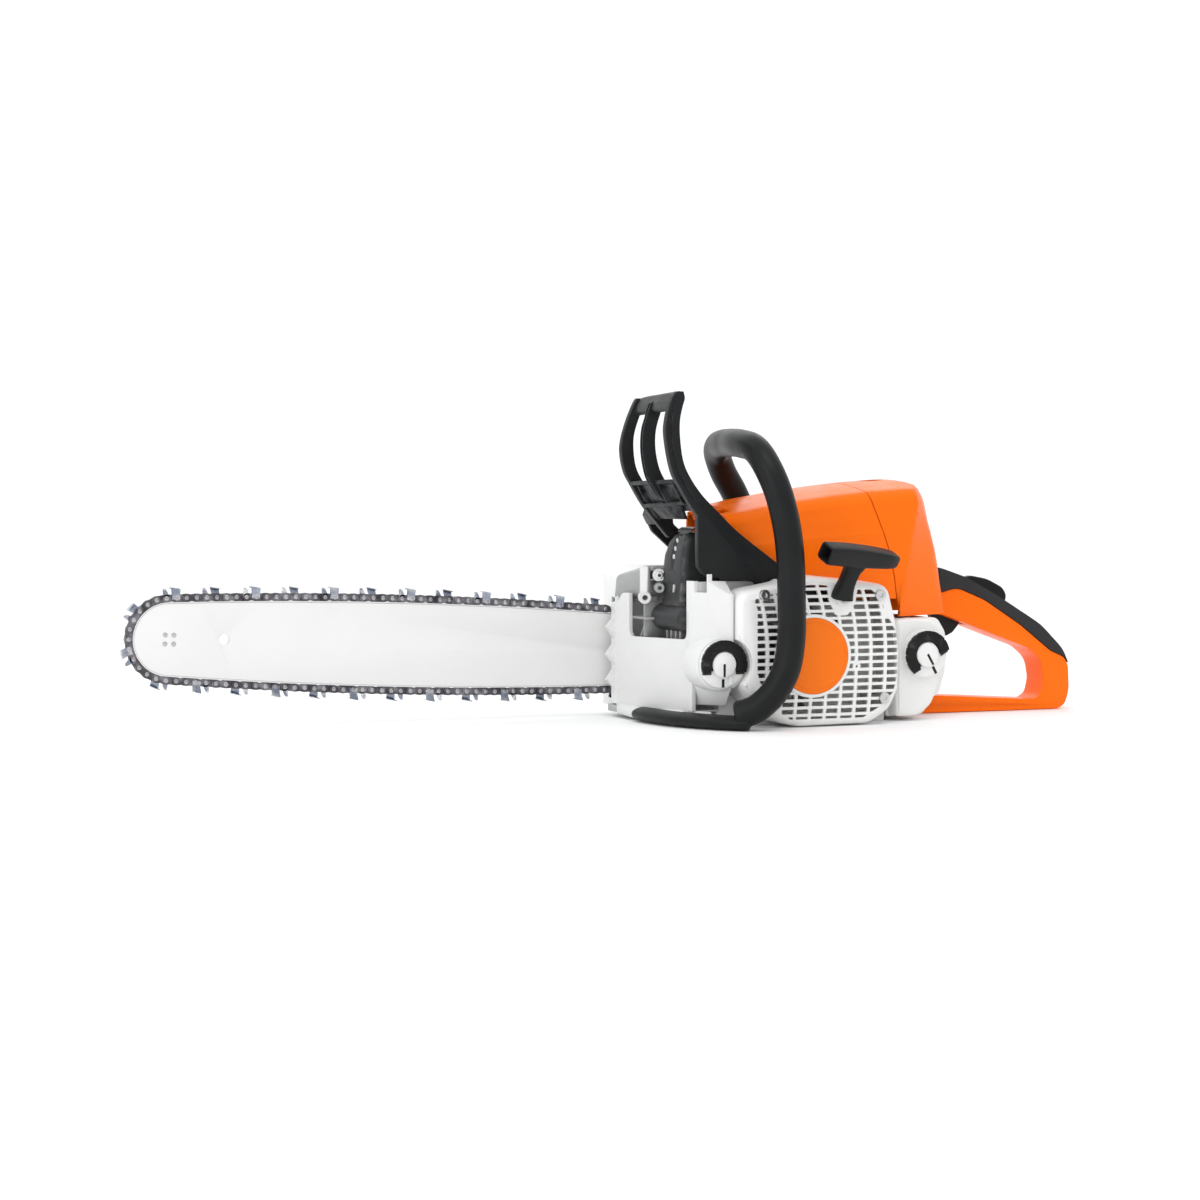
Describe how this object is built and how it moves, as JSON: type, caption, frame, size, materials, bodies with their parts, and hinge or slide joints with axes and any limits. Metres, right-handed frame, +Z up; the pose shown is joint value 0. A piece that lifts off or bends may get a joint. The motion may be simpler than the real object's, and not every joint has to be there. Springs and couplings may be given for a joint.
{
  "type": "petrol chainsaw",
  "caption": "Petrol chainsaw with guide bar and cutting chain, two-stroke engine, front and rear handles, hand guard and pull starter.",
  "frame": {"origin": "on the flat base, straight below the crankshaft axis and on the middle plane of the rear handle", "axes": "-X along the guide bar to its tip, +X to the rear handle, -Y the starter side, +Y the bar side, +Z up"},
  "size_m": [0.8203, 0.2311, 0.271],
  "materials": {
    "housing_paint": "light grey-white powder paint on cast metal, slight orange peel",
    "white_plastic": "moulded white polymer, satin",
    "orange_plastic": "moulded orange polymer, satin to gloss",
    "grey_plastic": "glass-filled charcoal polymer, fine spark grain",
    "black_plastic": "black polymer, fine grain",
    "grip_rubber": "dark grey soft-touch grip",
    "rubber_black": "matt black rubber",
    "bare_steel": "zinc plated or ground steel",
    "chain_steel": "blued and oiled chain steel",
    "bar_paint": "white painted steel plate",
    "cast_aluminium": "as-cast aluminium",
    "muffler_paint": "heat-proof dark grey paint on pressed steel",
    "filter_felt": "pleated filter fleece",
    "rope_braid": "braided starter cord",
    "ceramic": "glazed ceramic with a plated shell"
  },
  "bodies": {
    "powerhead": {"engine_housing": "housing_paint", "cylinder": "cast_aluminium", "muffler": "muffler_paint", "muffler_shield": "bare_steel", "spark_plug": "ceramic", "plug_boot": "rubber_black", "carburetor": "cast_aluminium", "intake_boot": "rubber_black", "air_filter": "filter_felt", "ignition_module": "black_plastic", "oil_pump": "cast_aluminium", "fan_housing": "white_plastic", "badge": "orange_plastic", "shroud": "orange_plastic", "carb_cover": "orange_plastic", "fuel_tank": "white_plastic", "rear_handle": "orange_plastic", "handle_insert": "grip_rubber", "front_handle": "grey_plastic", "housing_screws": "bare_steel", "guard_pivots": "bare_steel", "sprocket_cover": "white_plastic", "cover_nuts": "bare_steel", "bar_studs": "bare_steel", "bar_plate": "bare_steel", "guide_bar": "bar_paint", "bar_core": "bare_steel", "nose_rivets": "bare_steel", "saw_chain": "chain_steel", "brake_band": "bare_steel", "chain_catcher": "cast_aluminium", "buffers": "rubber_black", "rewind_spring": "bare_steel", "starter_rope": "rope_braid", "main_bearings": "bare_steel"},
    "crank": {"crankshaft": "bare_steel", "flywheel": "cast_aluminium", "clutch_shoes": "chain_steel"},
    "piston_set": {"piston": "cast_aluminium", "piston_rings": "chain_steel", "connecting_rod": "bare_steel", "gudgeon_pin": "bare_steel", "crank_pin": "bare_steel"},
    "drum": {"clutch_drum": "bare_steel", "drum_bearing": "bare_steel"},
    "nose_wheel": {"nose_sprocket": "bare_steel"},
    "guard": {"hand_guard": "grey_plastic"},
    "trigger": {"throttle_trigger": "black_plastic"},
    "lockout": {"throttle_lockout": "black_plastic"},
    "choke_lever": {"control_lever": "black_plastic"},
    "grip": {"starter_grip": "grey_plastic"},
    "pulley": {"starter_pulley": "black_plastic"},
    "fuel_cap": {"fuel_cap": "white_plastic"},
    "fuel_cap_grip": {"fuel_cap_grip": "black_plastic"},
    "oil_cap": {"oil_cap": "white_plastic"},
    "oil_cap_grip": {"oil_cap_grip": "black_plastic"},
    "lock": {"cover_lock": "black_plastic"},
    "tensioner": {"tension_screw": "bare_steel"}
  },
  "joints": [
    {"name": "crank_spin", "type": "hinge", "parent": "powerhead", "child": "crank", "pos_m": [0, 0, 0.056], "axis": [0, -1, 0], "continuous": true},
    {"name": "piston_stroke", "type": "slide", "parent": "powerhead", "child": "piston_set", "axis": [0, 0, 1], "range_m": [0, 0.032]},
    {"name": "drum_spin", "type": "hinge", "parent": "powerhead", "child": "drum", "pos_m": [0, 0.062, 0.056], "axis": [0, -1, 0], "continuous": true},
    {"name": "nose_sprocket_spin", "type": "hinge", "parent": "powerhead", "child": "nose_wheel", "pos_m": [-0.49053, 0.062, 0.07302], "axis": [0, -1, 0], "continuous": true},
    {"name": "chain_brake_tilt", "type": "hinge", "parent": "powerhead", "child": "guard", "pos_m": [-0.023, 0, 0.113], "axis": [0, -1, 0], "range_deg": [0, 10]},
    {"name": "throttle_trigger_pull", "type": "hinge", "parent": "powerhead", "child": "trigger", "pos_m": [0.16, 0, 0.092], "axis": [0, -1, 0], "range_deg": [0, 18], "stiffness_Nm_per_rad": 0.3, "springref_deg": -17.19},
    {"name": "throttle_lockout_press", "type": "hinge", "parent": "powerhead", "child": "lockout", "pos_m": [0.192, 0, 0.106], "axis": [0, 1, 0], "range_deg": [0, 8], "stiffness_Nm_per_rad": 0.25, "springref_deg": -17.19},
    {"name": "control_lever_shift", "type": "hinge", "parent": "powerhead", "child": "choke_lever", "pos_m": [0.152, -0.018, 0.113], "axis": [0, 1, 0], "range_deg": [0, 35]},
    {"name": "starter_pull", "type": "slide", "parent": "powerhead", "child": "grip", "axis": [0.1086, -0.454, 0.8844], "range_m": [0, 0.6], "stiffness_N_per_m": 8, "springref_m": -0.5},
    {"name": "starter_pulley_spin", "type": "hinge", "parent": "powerhead", "child": "pulley", "pos_m": [0, -0.0915, 0.056], "axis": [0, -1, 0], "range_deg": [0, 1370]},
    {"name": "fuel_cap_turn", "type": "hinge", "parent": "powerhead", "child": "fuel_cap", "pos_m": [0.1135, -0.077, 0.055], "axis": [0, -1, 0], "range_deg": [0, 90]},
    {"name": "fuel_cap_grip_flip", "type": "hinge", "parent": "fuel_cap", "child": "fuel_cap_grip", "pos_m": [0.11675, -0.0813, 0.04937], "axis": [0.866, 0, 0.5], "range_deg": [0, 90]},
    {"name": "oil_cap_turn", "type": "hinge", "parent": "powerhead", "child": "oil_cap", "pos_m": [-0.076, -0.088, 0.052], "axis": [0, -1, 0], "range_deg": [0, 90]},
    {"name": "oil_cap_grip_flip", "type": "hinge", "parent": "oil_cap", "child": "oil_cap_grip", "pos_m": [-0.076, -0.0923, 0.0455], "axis": [1, 0, 0], "range_deg": [0, 90]},
    {"name": "cover_lock_turn", "type": "hinge", "parent": "powerhead", "child": "lock", "pos_m": [0.1, -0.004, 0.19], "axis": [0, 0, 1], "range_deg": [0, 90]},
    {"name": "tension_screw_turn", "type": "hinge", "parent": "powerhead", "child": "tensioner", "pos_m": [-0.1, 0.08, 0.026], "axis": [1, 0, 0], "continuous": true}
  ],
  "couplings": [
    {"joint": "nose_sprocket_spin", "follows": "drum_spin", "ratio": 0.58333},
    {"joint": "starter_pulley_spin", "follows": "starter_pull", "rad_per_m": 39.68}
  ]
}
